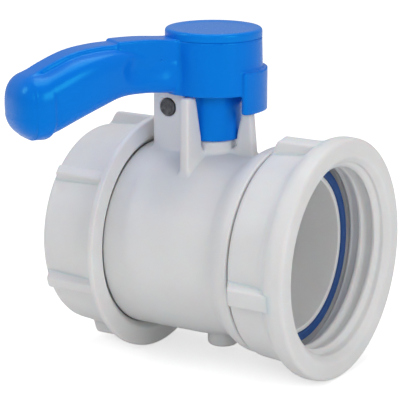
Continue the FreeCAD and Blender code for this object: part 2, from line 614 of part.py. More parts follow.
def make_hub_cap():
    """Round cover that closes the screw well, with a softened rim."""
    disc = rod(HUB_TOP_R + 2 * FIT_GAP, HUB_SEAM_Z, HUB_TOP_Z)
    rim = [e for e in disc.Edges if abs(e.BoundBox.ZMin - HUB_TOP_Z) < 0.01]
    disc = disc.makeFillet(HUB_CAP_ROUND, rim)
    spigot_r = HUB_TOP_R - HUB_CAP_LEDGE
    spigot = tube(spigot_r - HUB_CAP_SPIGOT_WALL, spigot_r, HUB_SEAM_Z - HUB_CAP_SPIGOT, HUB_CAP_SPIGOT + 0.5)
    return disc.fuse(spigot)


def make_lever_washer():
    return tube(LEVER_SCREW_R + 2 * STEM_GAP, LEVER_WASHER_R, SCREW_SEAT_Z, LEVER_WASHER_THICK)


def make_lever_screw():
    level = SCREW_SEAT_Z + LEVER_WASHER_THICK
    head = rod(LEVER_SCREW_HEAD_R, level, level + LEVER_SCREW_HEAD)
    shank = rod(LEVER_SCREW_R - FIT_GAP, STEM_TOP_Z - LEVER_SCREW_DEPTH + 1.0, level + 0.5)
    top = level + LEVER_SCREW_HEAD
    drive = rod(LEVER_SCREW_DRIVE, top - LEVER_SCREW_DRIVE, top)
    return head.fuse(shank).cut(drive)


def make_lock_screw():
    """Lock screw, its head part way into the counterbore of the block."""
    face = BLOCK_FRONT_Y + LOCK_RECESS
    head = Part.makeCylinder(LOCK_HEAD_R, LOCK_HEAD, Vector(LOCK_X, face - LOCK_HEAD, LOCK_Z), Y_AXIS)
    shank_length = LOCK_LENGTH - LOCK_RECESS
    shank = Part.makeCylinder(LOCK_SHANK_R - LOCK_GAP, shank_length, Vector(LOCK_X, face, LOCK_Z), Y_AXIS)
    return head.fuse(shank)


def build():
    lower, _, upper, _ = packing_levels()
    fixed = {
        "housing": make_housing(),
        "stem_tower": make_stem_tower(),
        "tank_gasket": make_tank_gasket(),
        "union_nut": make_union_nut(),
        "nut_retaining_ring": make_retaining_ring(),
        "outlet_cap": make_outlet_cap(),
        "cap_gasket": make_cap_gasket(),
        "stem_oring_lower": make_oring(lower),
        "stem_bush": make_stem_bush(),
        "stem_oring_upper": make_oring(upper),
        "thrust_washer": make_thrust_washer(),
        "lower_bush": make_lower_bush(),
        "lock_screw": make_lock_screw(),
    }
    turning = {
        "stem": make_stem(),
        "disc": make_disc(),
        "disc_seal": make_disc_seal(),
        "disc_screws": make_disc_screws(),
    }
    on_lever = {
        "lever": make_lever(),
        "hub_cap": make_hub_cap(),
        "lever_washer": make_lever_washer(),
        "lever_screw": make_lever_screw(),
    }
    nodes = dict(fixed)
    nodes.update({name: around(shape, REST_TURN, Z_AXIS) for name, shape in turning.items()})
    nodes.update({name: around(shape, REST_TURN - QUARTER, Z_AXIS) for name, shape in on_lever.items()})
    os.makedirs("parts", exist_ok=True)
    for name, shape in nodes.items():
        shape.translate(Vector(-SEAL_FACE_X, 0, 0))
        shape.exportStep(f"parts/{name}.step")
        print(name, len(shape.Solids), "solid", shape.isValid(), round(shape.Volume, 1))


build()
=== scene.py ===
# %% [markdown]
# # A butterfly valve for a bulk container
# The valve is a white moulded housing with a screwed nut on the tank side, a screwed cap on the outlet side and a
# blue lever on top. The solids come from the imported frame. Here each one gets its finish, and the pieces that a
# hand or an eye meets first are modelled again with soft moulded edges, ribs and threads.

# %% Load the frame
import bpy
import json
import math
import numpy as np
from mathutils import Matrix, Vector


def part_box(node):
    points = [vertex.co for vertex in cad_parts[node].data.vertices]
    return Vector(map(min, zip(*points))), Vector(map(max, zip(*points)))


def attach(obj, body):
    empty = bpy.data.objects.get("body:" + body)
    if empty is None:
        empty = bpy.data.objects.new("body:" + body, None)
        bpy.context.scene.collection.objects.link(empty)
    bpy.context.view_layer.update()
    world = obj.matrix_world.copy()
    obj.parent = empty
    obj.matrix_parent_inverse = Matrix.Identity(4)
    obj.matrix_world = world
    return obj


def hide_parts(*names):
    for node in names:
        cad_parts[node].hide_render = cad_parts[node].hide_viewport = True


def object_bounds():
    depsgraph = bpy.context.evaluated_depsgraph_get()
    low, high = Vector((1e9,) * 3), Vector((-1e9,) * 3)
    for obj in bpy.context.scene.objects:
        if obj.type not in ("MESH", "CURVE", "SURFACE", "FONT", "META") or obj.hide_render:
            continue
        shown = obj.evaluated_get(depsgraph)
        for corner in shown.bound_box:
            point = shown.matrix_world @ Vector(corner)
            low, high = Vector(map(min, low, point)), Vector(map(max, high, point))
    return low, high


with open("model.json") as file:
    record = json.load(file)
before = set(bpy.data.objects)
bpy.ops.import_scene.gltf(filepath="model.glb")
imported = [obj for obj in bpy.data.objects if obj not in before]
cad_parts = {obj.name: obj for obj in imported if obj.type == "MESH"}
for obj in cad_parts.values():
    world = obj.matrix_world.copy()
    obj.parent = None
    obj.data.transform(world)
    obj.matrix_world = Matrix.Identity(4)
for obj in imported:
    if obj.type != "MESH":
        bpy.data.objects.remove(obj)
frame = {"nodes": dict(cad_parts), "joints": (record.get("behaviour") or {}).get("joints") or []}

cad_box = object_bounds()
nodes = frame["nodes"]
stem_joint = [joint for joint in frame["joints"] if joint["name"] == "lever_turn"][0]
STEM_X = stem_joint["pos_m"][0]
print("frame loaded,", len(nodes), "solids, stem axis at x =", STEM_X)

# %% [markdown]
# The pieces below are drawn in millimetres about the point where the pipe axis meets the stem axis. One helper
# turns such points into a Blender mesh in metres, so that every finished object sits at the origin.

# %% Make a mesh in the frame
def make_piece(name, points, faces, turn=0.0):
    """A smooth mesh object from millimetre points, turned about the stem axis by degrees."""
    spin = Matrix.Rotation(math.radians(turn), 4, "Z")
    mesh = bpy.data.meshes.new(name)
    mesh.from_pydata([tuple(p) for p in points], [], faces)
    mesh.transform(Matrix.Translation((STEM_X, 0, 0)) @ spin @ Matrix.Scale(0.001, 4))
    mesh.update()
    mesh.shade_smooth()
    piece = bpy.data.objects.new(name, mesh)
    bpy.context.scene.collection.objects.link(piece)
    print(name, len(mesh.vertices), "points")
    return piece

# %% [markdown]
# A moulded edge is never sharp. Every corner of an outline is given a radius, and a short straight run is kept on
# both sides of it, so that flat faces stay flat under smooth shading.

# %% Round the corners of an outline
def softened(corners, steps=4, closed=True):
    """Outline points from (along, radius, rounding) corners."""
    out = []
    count = len(corners)
    for i, (x, r, soft) in enumerate(corners):
        here = np.array([x, r])
        if soft <= 0 or (not closed and i in (0, count - 1)):
            out.append(here)
            continue
        before = np.array(corners[i - 1][:2]) - here
        after = np.array(corners[(i + 1) % count][:2]) - here
        reach = min(soft, 0.45 * np.linalg.norm(before), 0.45 * np.linalg.norm(after))
        a = here + before / np.linalg.norm(before) * reach
        b = here + after / np.linalg.norm(after) * reach
        hold_a = a + before / np.linalg.norm(before) * min(0.12, 0.04 * np.linalg.norm(before))
        hold_b = b + after / np.linalg.norm(after) * min(0.12, 0.04 * np.linalg.norm(after))
        out.append(hold_a)
        for k in range(steps + 1):
            t = k / steps
            out.append((1 - t) ** 2 * a + 2 * t * (1 - t) * here + t * t * b)
        out.append(hold_b)
    return out

def divided(outline, start, end, radius, step):
    """Extra points on the straight run of an outline that carries a thread."""
    out = []
    for a, b in zip(outline, outline[1:] + outline[:1]):
        out.append(a)
        on_run = abs(a[1] - radius) < 0.06 and abs(b[1] - radius) < 0.06
        inside = min(a[0], b[0]) > start - 0.5 and max(a[0], b[0]) < end + 0.5
        if on_run and inside and abs(b[0] - a[0]) > step:
            pieces = int(abs(b[0] - a[0]) / step) + 1
            out += [a + (b - a) * k / pieces for k in range(1, pieces)]
    return out

# %% [markdown]
# Nut, cap, gaskets and barrel are turned shapes. The outline is carried round the pipe axis in equal steps. A
# point on the axis becomes one single pole, so the closed end of the cap has no pinhole.

# %% Turn an outline round the pipe
def turned(name, outline, sides=180, axis="pipe"):
    """A closed outline of (along, radius) points carried round the pipe axis or the stem axis."""
    angles = np.arange(sides) * 2 * math.pi / sides
    points, rings = [], []
    for x, r in outline:
        first = len(points)
        if r < 1e-6:
            points.append((x, 0, 0) if axis == "pipe" else (0, 0, x))
            rings.append([first] * sides)
            continue
        for a in angles:
            c, s = math.cos(a) * r, math.sin(a) * r
            points.append((x, c, s) if axis == "pipe" else (c, s, x))
        rings.append(list(range(first, first + sides)))
    faces = []
    for ring, other in zip(rings, rings[1:] + rings[:1]):
        for k in range(sides):
            n = (k + 1) % sides
            corners = list(dict.fromkeys([ring[k], ring[n], other[n], other[k]]))
            if len(corners) > 2:
                faces.append(corners)
    area = sum(a[0] * b[1] - b[0] * a[1] for a, b in zip(outline, outline[1:] + outline[:1]))
    if area > 0:
        faces = [face[::-1] for face in faces]
    return make_piece(name, points, faces)

# %% [markdown]
# The lever, the stop tower and other moulded forms with blended corners are grown from a distance field. A field is
# negative inside the plastic and positive outside it. Two fields join with a fillet when the smaller one is
# taken with a soft minimum, and a hollow is cut with a soft maximum.

# %% Fields and soft joins
def join(a, b, soft):
    blend = np.clip(0.5 + 0.5 * (b - a) / soft, 0, 1)
    return b * (1 - blend) + a * blend - soft * blend * (1 - blend)

def cut(a, b, soft):
    return -join(-a, b, soft)

def bar_field(radial, height, radius, low, high, soft):
    """A round bar from its distance to the axis and its height, with softened edges."""
    across = radial - radius + soft
    along = np.abs(height - (low + high) / 2) - (high - low) / 2 + soft
    return np.hypot(np.maximum(across, 0), np.maximum(along, 0)) + np.minimum(np.maximum(across, along), 0) - soft

def box_field(x, y, z, middle, half, soft):
    qx, qy, qz = (np.abs(v - m) - h + soft for v, m, h in zip((x, y, z), middle, half))
    out = np.sqrt(np.maximum(qx, 0) ** 2 + np.maximum(qy, 0) ** 2 + np.maximum(qz, 0) ** 2)
    return out + np.minimum(np.maximum(np.maximum(qx, qy), qz), 0) - soft

def capsule_field(x, y, z, start, end, radius):
    a, b = np.array(start, float), np.array(end, float)
    d = b - a
    t = np.clip(((x - a[0]) * d[0] + (y - a[1]) * d[1] + (z - a[2]) * d[2]) / d.dot(d), 0, 1)
    return np.sqrt((x - a[0] - t * d[0]) ** 2 + (y - a[1] - t * d[1]) ** 2 + (z - a[2] - t * d[2]) ** 2) - radius

# %% [markdown]
# The skin of a field is found on a grid of small cells: each cell that the surface passes through gets one point,
# and neighbouring points make the faces. A few steps along the slope then move every point onto the exact surface.

# %% Grow a skin
def grown(name, field, low, high, cell, turn=0.0):
    counts = [int((b - a) / cell) + 2 for a, b in zip(low, high)]
    axes = [a + cell * np.arange(n) for a, n in zip(low, counts)]
    values = field(*np.meshgrid(*axes, indexing="ij"))
    inside = values < 0
    total = sum(inside[i:counts[0] - 1 + i, j:counts[1] - 1 + j, k:counts[2] - 1 + k].astype(int)
                for i in (0, 1) for j in (0, 1) for k in (0, 1))
    active = (total > 0) & (total < 8)
    index = -np.ones(active.shape, int)
    index[active] = np.arange(active.sum())
    p = np.argwhere(active) * cell + np.array(low) + cell / 2
    for _ in range(6):
        f = field(*p.T)
        h = 0.02
        slope = np.stack([(field(*(p + h * e).T) - field(*(p - h * e).T)) / (2 * h) for e in np.eye(3)], 1)
        move = slope * (f / np.maximum((slope ** 2).sum(1), 0.05))[:, None]
        length = np.linalg.norm(move, axis=1, keepdims=True)
        p = p - move * np.minimum(1, cell / np.maximum(length, 1e-9))
    faces = []
    for axis in range(3):
        u, v = [(1, 2), (2, 0), (0, 1)][axis]
        a = np.take(inside, range(counts[axis] - 1), axis)
        b = np.take(inside, range(1, counts[axis]), axis)
        for sign, change in ((1, a & ~b), (-1, ~a & b)):
            cells = np.argwhere(change)
            cells = cells[(cells[:, u] > 0) & (cells[:, v] > 0)]
            corner = []
            for du, dv in ((1, 1), (0, 1), (0, 0), (1, 0)):
                c = cells.copy()
                c[:, u] -= du
                c[:, v] -= dv
                corner.append(index[c[:, 0], c[:, 1], c[:, 2]])
            quads = np.stack(corner, 1)
            faces += (quads if sign > 0 else quads[:, ::-1]).tolist()
    return make_piece(name, p, faces, turn)

# %% [markdown]
# ## Finishes
# Every finish is built from nodes on Object coordinates. Moulded polyethylene is slightly see-through, with a soft
# satin skin, faint clouds of colour from the flow of the melt, and a very fine grain.

# %% Build a moulded finish
def add(tree, kind, **values):
    node = tree.nodes.new(kind)
    for key, value in values.items():
        setattr(node, key, value)
    return node

def moulded(name, colour, rough, cloud, grain, glow=0.0, radius=0.002, coat=0.0, cloud_size=45.0, grain_size=900.0,
             sheen_colour=(1, 1, 1)):
    """Plastic with clouded colour, uneven gloss and a fine moulded grain."""
    material = bpy.data.materials.new(name)
    material.use_nodes = True
    tree = material.node_tree
    shader = tree.nodes["Principled BSDF"]
    shader.inputs["Specular IOR Level"].default_value = 0.5
    shader.inputs["IOR"].default_value = 1.5
    shader.inputs["Specular Tint"].default_value = (*sheen_colour, 1)
    shader.inputs["Subsurface Weight"].default_value = glow
    shader.inputs["Subsurface Scale"].default_value = radius
    shader.inputs["Coat Weight"].default_value = coat
    shader.inputs["Coat Roughness"].default_value = 0.12
    where = add(tree, "ShaderNodeTexCoord")
    clouds = add(tree, "ShaderNodeTexNoise")
    clouds.inputs["Scale"].default_value = cloud_size
    clouds.inputs["Detail"].default_value = 4
    fine = add(tree, "ShaderNodeTexNoise")
    fine.inputs["Scale"].default_value = grain_size
    fine.inputs["Detail"].default_value = 3
    tree.links.new(where.outputs["Object"], clouds.inputs["Vector"])
    tree.links.new(where.outputs["Object"], fine.inputs["Vector"])
    ramp = add(tree, "ShaderNodeValToRGB")
    ramp.color_ramp.elements[0].position = 0.3
    ramp.color_ramp.elements[1].position = 0.7
    ramp.color_ramp.elements[0].color = tuple(c * (1 - cloud) for c in colour) + (1,)
    ramp.color_ramp.elements[1].color = tuple(min(1, c * (1 + cloud)) for c in colour) + (1,)
    tree.links.new(clouds.outputs["Fac"], ramp.inputs["Fac"])
    tree.links.new(ramp.outputs["Color"], shader.inputs["Base Color"])
    gloss = add(tree, "ShaderNodeMapRange")
    gloss.inputs["To Min"].default_value = rough * 0.85
    gloss.inputs["To Max"].default_value = rough * 1.15
    tree.links.new(fine.outputs["Fac"], gloss.inputs["Value"])
    tree.links.new(gloss.outputs["Result"], shader.inputs["Roughness"])
    bump = add(tree, "ShaderNodeBump")
    bump.inputs["Strength"].default_value = grain
    bump.inputs["Distance"].default_value = 0.0002
    tree.links.new(fine.outputs["Fac"], bump.inputs["Height"])
    tree.links.new(bump.outputs["Normal"], shader.inputs["Normal"])
    print("finish", name)
    return material

# %% Mix the finishes
white = moulded("white_polyethylene", (0.80, 0.80, 0.80), 0.42, 0.025, 0.10, glow=0.25)
white_nut = moulded("white_nut_plastic", (0.80, 0.80, 0.80), 0.44, 0.035, 0.12, glow=0.25)
white_cap = moulded("white_cap_plastic", (0.80, 0.80, 0.80), 0.44, 0.035, 0.12, glow=0.25)
blue = moulded("blue_lever_plastic", (0.003, 0.19, 0.80), 0.24, 0.02, 0.035, sheen_colour=(0.05, 0.9, 0.8))
blue_cover = moulded("blue_cover_plastic", (0.003, 0.21, 0.82), 0.26, 0.02, 0.04, sheen_colour=(0.05, 0.9, 0.8))
blue_gasket = moulded("blue_gasket_rubber", (0.015, 0.075, 0.27), 0.5, 0.06, 0.2)
black_rubber = moulded("black_rubber", (0.02, 0.02, 0.02), 0.6, 0.15, 0.25)
stem_finish = moulded("stem_reinforced_plastic", (0.42, 0.42, 0.4), 0.4, 0.08, 0.2, grain_size=600.0)
bush_finish = moulded("bush_plastic", (0.6, 0.59, 0.55), 0.35, 0.05, 0.12)

# %% [markdown]
# The stainless steel is the same finish made metallic, with a finer grain. The lock screw is dark and mottled, like a
# cast plug.

# %% Metal and mottled finishes
def turned_steel(name):
    material = moulded(name, (0.5, 0.5, 0.49), 0.28, 0.05, 0.3, grain_size=1500.0)
    material.node_tree.nodes["Principled BSDF"].inputs["Metallic"].default_value = 1.0
    return material

steel = turned_steel("stainless_steel")
mottled = moulded("mottled_grey_plug", (0.09, 0.09, 0.09), 0.5, 0.55, 0.5, cloud_size=900.0, grain_size=1800.0)

def finish(name, material):
    mesh = nodes[name].data
    mesh.materials.clear()
    mesh.materials.append(material)

for name, material in (
        ("housing", white), ("stem_tower", white), ("union_nut", white_nut), ("outlet_cap", white_cap),
        ("disc", white), ("lever", blue), ("hub_cap", blue_cover), ("tank_gasket", blue_gasket),
        ("cap_gasket", black_rubber), ("disc_seal", black_rubber), ("stem_oring_lower", black_rubber),
        ("stem_oring_upper", black_rubber), ("stem", stem_finish), ("stem_bush", bush_finish),
        ("thrust_washer", bush_finish), ("lower_bush", bush_finish), ("nut_retaining_ring", bush_finish),
        ("disc_screws", steel), ("lever_screw", steel), ("lever_washer", steel), ("lock_screw", mottled)):
    finish(name, material)
print("finishes on", len(nodes), "solids")

# %% [markdown]
# ## The lever
# The lever is one moulding: a hub with a collar below it, a band that meets the stop posts, a level neck and a
# grip that droops to a rounded knob. A narrow spine runs along the top, and the wider body bulges out below it.
# All of it is one field, because the corners of a moulding flow into each other.

# %% Sizes along the arm
def curve(x, places, values):
    """A smooth line through a few (place, value) pairs."""
    places, values = np.array(places, float), np.array(values, float)
    slopes = np.gradient(values, places)
    i = np.clip(np.searchsorted(places, x) - 1, 0, len(places) - 2)
    h = places[i + 1] - places[i]
    t = np.clip((x - places[i]) / h, 0, 1)
    return ((2 * t ** 3 - 3 * t ** 2 + 1) * values[i] + (t ** 3 - 2 * t ** 2 + t) * h * slopes[i]
            + (3 * t ** 2 - 2 * t ** 3) * values[i + 1] + (t ** 3 - t ** 2) * h * slopes[i + 1])

ALONG = (8, 20, 32, 42, 52, 62, 72, 79, 84)
UNDERSIDE = (61.0, 61.2, 62.0, 61.6, 58.6, 54.8, 50.8, 49.0, 49.0)
TOP = (81.2, 81.4, 82.2, 82.2, 81.8, 80.2, 76.4, 72.9, 70.5)
HALF_WIDTH = (6.4, 6.5, 6.9, 9.2, 11.9, 13.2, 13.6, 13.3, 12.6)
SPINE_STAND = (5.2, 5.0, 4.2, 2.0, 1.7, 1.8, 2.0, 1.2, 0.6)
HUB_LOW, HUB_SEAM, HUB_TOP = 60.5, 81.6, 85.0
HUB_R, COLLAR_R, SKIRT_IN, SKIRT_OUT = 19.4, 11.1, 18.3, 21.0
SKIRT_HALF = math.radians(83.5)

# %% The arm and its knob
def arm_field(s, y, z):
    low, top = curve(s, ALONG, UNDERSIDE), curve(s, ALONG, TOP)
    shoulder = top - curve(s, ALONG, SPINE_STAND)
    half, tall, mid = curve(s, ALONG, HALF_WIDTH), (shoulder - low) / 2, (shoulder + low) / 2
    power = 3.6
    ring = (np.abs(y / half) ** power + np.abs((z - mid) / tall) ** power) ** (1 / power)
    body = np.maximum((ring - 1) * np.minimum(half, tall), np.maximum(s - 79.5, 4.0 - s))
    spine = box_field(s, y, z - top, (42, 0, -4), (39, 5.3, 4), 1.1)
    plate = box_field(s, y, z - top, (24, 0, -3.2), (19.5, 5.9, 4.1), 1.0)
    arm = join(join(body, spine, 0.9), plate, 0.5)
    dish = capsule_field(s, np.abs(y), z, (25, 15.2, 72.0), (35, 15.4, 72.4), 9.4)
    arm = cut(arm, dish, 1.6)
    reach = (np.abs(y / 14.1) ** 2.7 + np.abs((z - 61.2) / 12.6) ** 2.7) ** (1 / 2.7)
    knob = (np.sqrt(reach ** 2.6 + (np.maximum(s - 75.4, 0) / 10.1) ** 2) - 1) * 9.0
    back_face = 75.0 - s - 0.012 * y ** 2 + 0.03 * (z - 61.0)
    knob = cut(knob, -back_face, 0.7)
    seam = 0.16 / (1 + np.exp(np.clip((z - 57.4) / 0.12, -30, 30)))
    return join(arm, knob - seam, 0.8)

# %% The whole lever
def lever_field(s, y, z):
    r = np.hypot(s, y)
    hub_r = HUB_R - 0.6 * (z - HUB_LOW) / (HUB_TOP - HUB_LOW)
    hub = bar_field(r - hub_r, z, 0.0, HUB_LOW, HUB_SEAM, 0.3)
    collar = bar_field(r, z, COLLAR_R, 41.75, 66.0, 0.7)
    away = np.abs(np.arctan2(y, -s))
    ends = r * np.sin(np.clip(away - SKIRT_HALF, -1.5, 1.5))
    skirt = np.maximum(np.abs(r - (SKIRT_IN + SKIRT_OUT) / 2) - 1.35, np.abs(z - 61.45) - 8.15)
    skirt = cut(skirt, -ends, 1.2)
    cover = bar_field(r, z, 19.2, HUB_SEAM, 95.0, 0.1)
    shell = join(hub, cut(arm_field(s, y, z), cover, 0.3), 1.6)
    hollow = np.maximum(np.abs(r - 13.95) - 2.75, z - 72.0)
    solid = join(join(cut(shell, hollow, 0.6), collar, 0.8), skirt, 0.7)
    bore = np.minimum(bar_field(r, z, 5.3, 30.0, 72.2, 0.1), bar_field(r, z, 7.7, 74.3, 95.0, 0.1))
    return cut(solid, np.minimum(bore, bar_field(r, z, 2.9, 60.0, 90.0, 0.1)), 0.2)

lever = grown("moulded_lever", lever_field, (-22.5, -22.5, 41.0), (87.0, 22.5, 84.0), 0.64, turn=-120)
lever.data.materials.append(blue)
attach(lever, "lever_and_disc")
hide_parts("lever")

# %% [markdown]
# The round cover snaps into the hub. Its rim is rolled over and its top is a little hollow.

# %% The hub's cover
cover_outline = softened([
    (81.64, 0.0, 0), (81.64, 18.92, 0.1), (85.0, 18.9, 2.6), (84.99, 15.6, 1.6), (84.72, 13.8, 1.6),
    (84.66, 0.0, 0)], steps=8)
cover = turned("hub_cover", cover_outline, sides=128, axis="stem")
cover.data.materials.append(blue_cover)
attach(cover, "lever_and_disc")
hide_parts("hub_cap")

# %% [markdown]
# ## Ribs and threads by rule
# Nut and cap share two rules. Grip ribs are one rib repeated round the pipe axis. The coarse thread is a wave in
# the wall that climbs 6 mm in each turn. Each rule is a small Geometry Nodes tree with named sizes.

# %% Tools for building a tree
def new_tree(title, sizes):
    tree = bpy.data.node_groups.new(title, "GeometryNodeTree")
    tree.interface.new_socket("Geometry", in_out="INPUT", socket_type="NodeSocketGeometry")
    for label, kind, start in sizes:
        socket = tree.interface.new_socket(label, in_out="INPUT", socket_type=kind)
        if start is not None:
            socket.default_value = start
    tree.interface.new_socket("Geometry", in_out="OUTPUT", socket_type="NodeSocketGeometry")
    return tree, add(tree, "NodeGroupInput"), add(tree, "NodeGroupOutput")

def math_node(tree, operation, *values, clamp=False):
    node = add(tree, "ShaderNodeMath", operation=operation, use_clamp=clamp)
    for socket, value in zip(node.inputs, values):
        if isinstance(value, (int, float)):
            socket.default_value = value
        else:
            tree.links.new(value, socket)
    return node.outputs[0]

def apply_tree(piece, tree, sizes):
    """Run the tree on the piece, keep the result as a plain mesh and take the modifier off."""
    change = piece.modifiers.new(tree.name, "NODES")
    change.node_group = tree
    for item in tree.interface.items_tree:
        if item.in_out == "INPUT" and item.name in sizes:
            change[item.identifier] = sizes[item.name]
    piece.update_tag()
    graph = bpy.context.evaluated_depsgraph_get()
    made = bpy.data.meshes.new_from_object(piece.evaluated_get(graph))
    piece.modifiers.remove(change)
    piece.data = made
    made.shade_smooth()
    print(piece.name, tree.name, len(made.polygons), "faces")

# %% The thread tree
thread_tree, given, result = new_tree("Cut a coarse thread", [
    ("Pitch", "NodeSocketFloat", 0.006), ("Wall radius", "NodeSocketFloat", 0.0375),
    ("Crest height", "NodeSocketFloat", -0.0023), ("Start", "NodeSocketFloat", 0.0),
    ("End", "NodeSocketFloat", 0.015), ("Fade", "NodeSocketFloat", 0.003), ("Phase", "NodeSocketFloat", 0.0),
    ("Finish", "NodeSocketMaterial", None)])
spot = add(thread_tree, "GeometryNodeInputPosition")
parts = add(thread_tree, "ShaderNodeSeparateXYZ")
thread_tree.links.new(spot.outputs[0], parts.inputs[0])
x, y, z = parts.outputs
radius = math_node(thread_tree, "SQRT", math_node(
    thread_tree, "ADD", math_node(thread_tree, "MULTIPLY", y, y), math_node(thread_tree, "MULTIPLY", z, z)))
angle = math_node(thread_tree, "DIVIDE", math_node(thread_tree, "ARCTAN2", z, y), 2 * math.pi)
climb = math_node(thread_tree, "DIVIDE", x, given.outputs["Pitch"])
turns = math_node(thread_tree, "ADD", math_node(thread_tree, "SUBTRACT", climb, angle), given.outputs["Phase"])
side = math_node(thread_tree, "ABSOLUTE", math_node(thread_tree, "SUBTRACT", math_node(
    thread_tree, "FRACT", math_node(thread_tree, "ADD", turns, 50.0)), 0.5))
form = add(thread_tree, "ShaderNodeMapRange", interpolation_type="SMOOTHSTEP")
form.inputs["From Min"].default_value = 0.33
form.inputs["From Max"].default_value = 0.09
thread_tree.links.new(side, form.inputs["Value"])
rise = math_node(thread_tree, "DIVIDE", math_node(thread_tree, "SUBTRACT", x, given.outputs["Start"]),
                 given.outputs["Fade"], clamp=True)
fall = math_node(thread_tree, "DIVIDE", math_node(thread_tree, "SUBTRACT", given.outputs["End"], x),
                 given.outputs["Fade"], clamp=True)
off_wall = math_node(thread_tree, "ABSOLUTE", math_node(thread_tree, "SUBTRACT", radius, given.outputs["Wall radius"]))
on_wall = math_node(thread_tree, "LESS_THAN", off_wall, 0.00004)
amount = math_node(thread_tree, "MULTIPLY", math_node(thread_tree, "MULTIPLY", rise, fall), math_node(
    thread_tree, "MULTIPLY", form.outputs["Result"], math_node(thread_tree, "MULTIPLY", on_wall,
                                                               given.outputs["Crest height"])))
push = add(thread_tree, "ShaderNodeCombineXYZ")
thread_tree.links.new(math_node(thread_tree, "MULTIPLY", amount, math_node(thread_tree, "DIVIDE", y, radius)),
                      push.inputs[1])
thread_tree.links.new(math_node(thread_tree, "MULTIPLY", amount, math_node(thread_tree, "DIVIDE", z, radius)),
                      push.inputs[2])
move = add(thread_tree, "GeometryNodeSetPosition")
real = add(thread_tree, "GeometryNodeRealizeInstances")
dress = add(thread_tree, "GeometryNodeSetMaterial")
thread_tree.links.new(given.outputs["Geometry"], move.inputs["Geometry"])
thread_tree.links.new(push.outputs[0], move.inputs["Offset"])
thread_tree.links.new(move.outputs[0], real.inputs[0])
thread_tree.links.new(real.outputs[0], dress.inputs["Geometry"])
thread_tree.links.new(given.outputs["Finish"], dress.inputs["Material"])
thread_tree.links.new(dress.outputs[0], result.inputs[0])

# %% The rib tree
rib_tree, given, result = new_tree("Ribs round the pipe", [
    ("Rib", "NodeSocketObject", None), ("Count", "NodeSocketInt", 4), ("First angle", "NodeSocketFloat", 0.0),
    ("Finish", "NodeSocketMaterial", None)])
spots = add(rib_tree, "GeometryNodePoints")
one_rib = add(rib_tree, "GeometryNodeObjectInfo")
number = add(rib_tree, "GeometryNodeInputIndex")
step = math_node(rib_tree, "DIVIDE", 2 * math.pi, given.outputs["Count"])
spin = math_node(rib_tree, "ADD", math_node(rib_tree, "MULTIPLY", number.outputs[0], step),
                 given.outputs["First angle"])
turn = add(rib_tree, "ShaderNodeCombineXYZ")
place = add(rib_tree, "GeometryNodeInstanceOnPoints")
both = add(rib_tree, "GeometryNodeJoinGeometry")
real = add(rib_tree, "GeometryNodeRealizeInstances")
dress = add(rib_tree, "GeometryNodeSetMaterial")
rib_tree.links.new(given.outputs["Count"], spots.inputs["Count"])
rib_tree.links.new(given.outputs["Rib"], one_rib.inputs["Object"])
rib_tree.links.new(spin, turn.inputs[0])
rib_tree.links.new(spots.outputs[0], place.inputs["Points"])
rib_tree.links.new(one_rib.outputs["Geometry"], place.inputs["Instance"])
rib_tree.links.new(turn.outputs[0], place.inputs["Rotation"])
rib_tree.links.new(place.outputs[0], both.inputs[0])
rib_tree.links.new(given.outputs["Geometry"], both.inputs[0])
rib_tree.links.new(both.outputs[0], real.inputs[0])
rib_tree.links.new(real.outputs[0], dress.inputs["Geometry"])
rib_tree.links.new(given.outputs["Finish"], dress.inputs["Material"])
rib_tree.links.new(dress.outputs[0], result.inputs[0])

# %% [markdown]
# One rib is a rounded bar lying along the pipe. Its rear end climbs in an S from the drum, and its foot flares
# out where it stands on the wall, as every moulded rib does.

# %% Make one rib
def make_rib(name, start, end, rise, width, top, wall, flare, fall=0.0):
    """A rib from start to end; wall(x) is the radius it stands on, and its top is reached over rise."""
    stations = np.concatenate([np.linspace(0, rise, 22), np.linspace(rise, abs(end - start), 14)[1:]])
    points, faces = [], []
    half = width / 2
    soft = min(1.0, 0.3 * width)
    around = 22
    for d in stations:
        x = start + d * np.sign(end - start)
        t = np.clip(d / rise, 0, 1)
        climb = t * t * t * (t * (6 * t - 15) + 10)
        foot = wall(x)
        height = max(0.02, (top - fall * (d / abs(end - start)) - foot) * climb)
        deep = foot - 1.2
        fl, so = min(flare, 0.6 * height), min(soft, 0.6 * height)
        line = [(-half - fl, deep), (-half - fl, foot + 0.0)]
        line += [(-half - fl * (1 - math.sin(q)), foot + fl * (1 - math.cos(q))) for q in (0.5, 1.05, 1.57)]
        line += [(-half + so * (1 - math.cos(q)), foot + height - so * (1 - math.sin(q))) for q in (0, 0.5, 1.05, 1.57)]
        line += [(0.0, foot + height)]
        line += [(-u, v) for u, v in line[-2::-1]]
        around = len(line)
        points += [(x, v, u) for u, v in line]
    count = len(stations)
    for i in range(count - 1):
        for k in range(around):
            n = (k + 1) % around
            faces.append([i * around + k, i * around + n, (i + 1) * around + n, (i + 1) * around + k])
    faces.append(list(range(around))[::-1])
    faces.append([(count - 1) * around + k for k in range(around)])
    piece = make_piece(name, points, faces)
    return piece

def keep_ribbed(piece, rib, count, first_angle, material):
    apply_tree(piece, rib_tree, {"Rib": rib, "Count": count, "First angle": math.radians(first_angle),
                                 "Finish": material})
    bpy.data.objects.remove(rib)

# %% [markdown]
# ## The union nut
# The nut turns freely on the housing's spigot and screws on the tank. Its mouth is chamfered, its flange is rolled,
# and four broad ribs give the hand a grip.

